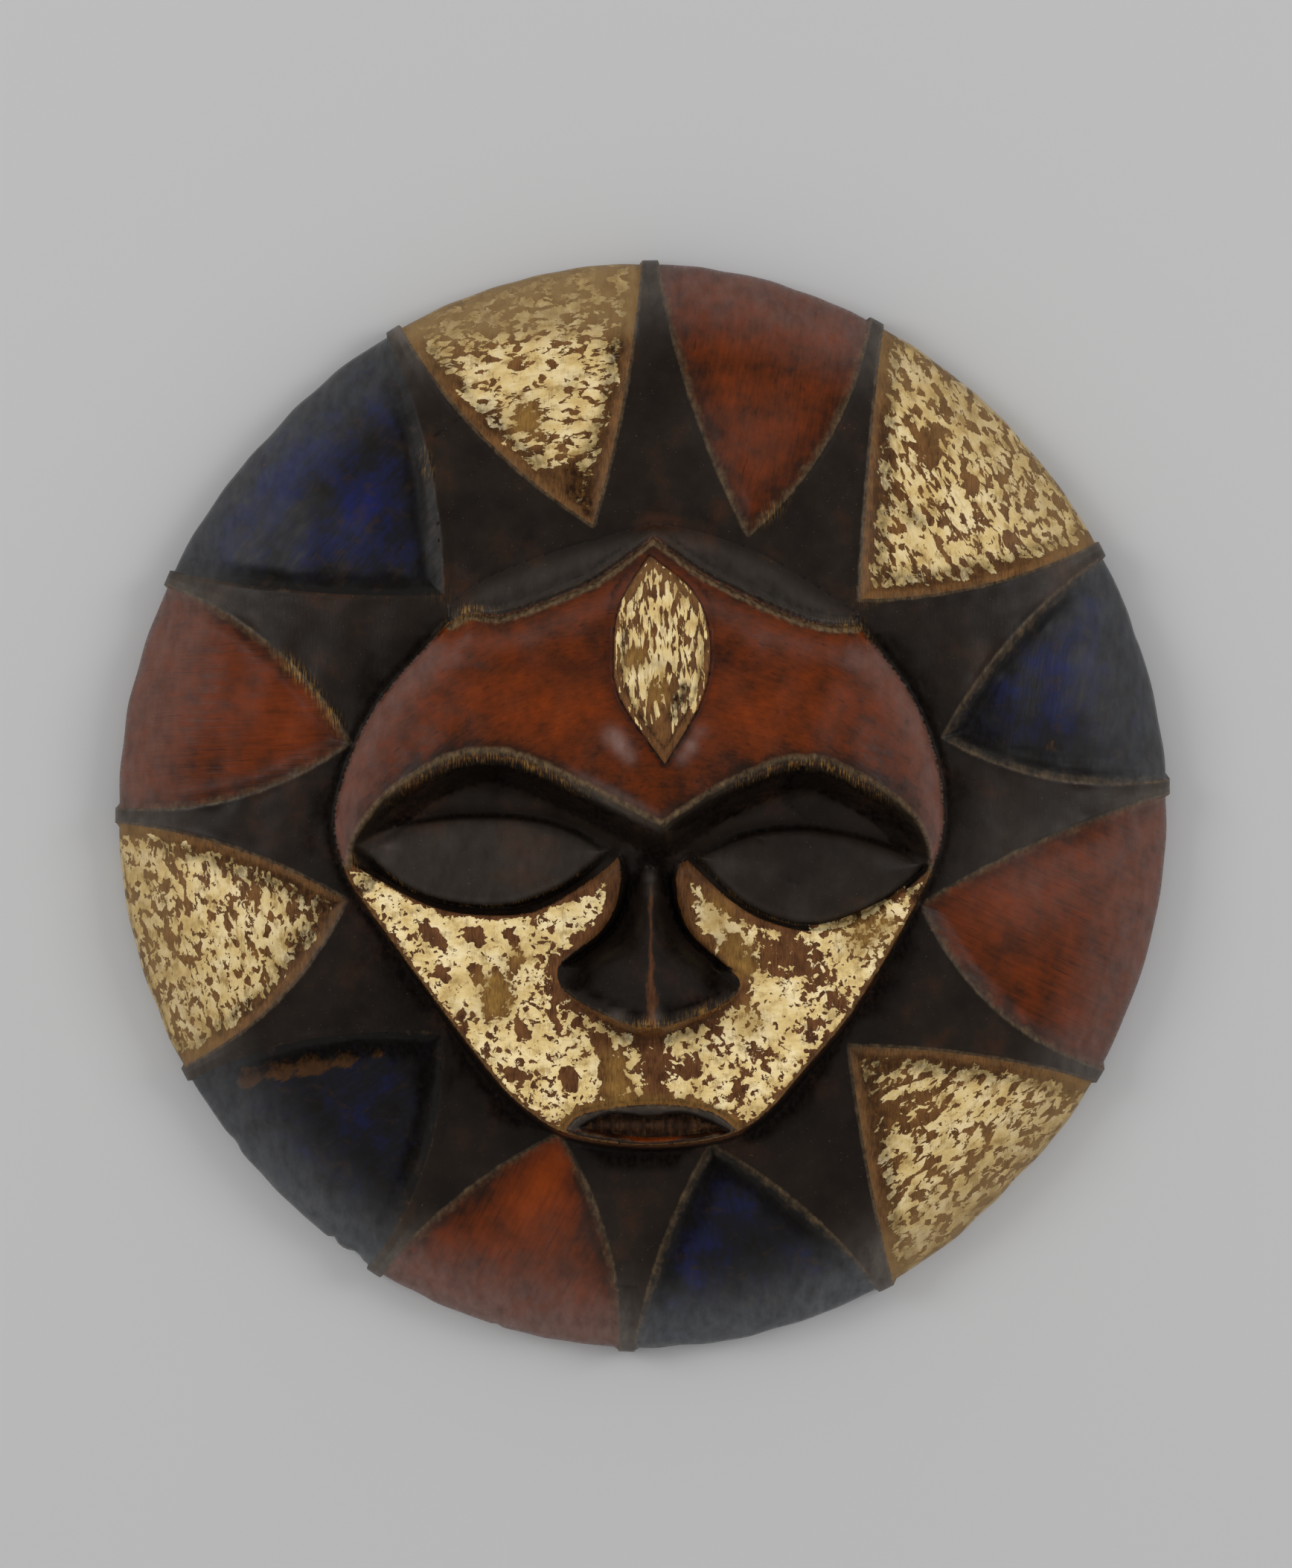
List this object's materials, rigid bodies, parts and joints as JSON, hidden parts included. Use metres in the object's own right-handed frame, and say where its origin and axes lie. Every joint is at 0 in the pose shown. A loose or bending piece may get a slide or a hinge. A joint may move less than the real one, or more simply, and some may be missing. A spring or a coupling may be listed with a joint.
{
  "type": "carved wooden mask",
  "caption": "Round painted wooden mask: a domed disc with sunk ray panels around a carved face with almond eyes, hollow behind, resting on its flat back rim.",
  "frame": {"origin": "middle of the disc, on the plane of its flat back rim", "axes": "+Z out of the face, +Y towards the forehead, +X to the viewer's right"},
  "size_m": [0.3798, 0.3929, 0.088],
  "materials": {
    "painted_wood": "worn, waxed paint over carved wood"
  },
  "bodies": {
    "root": {"mask": "painted_wood"}
  },
  "joints": []
}
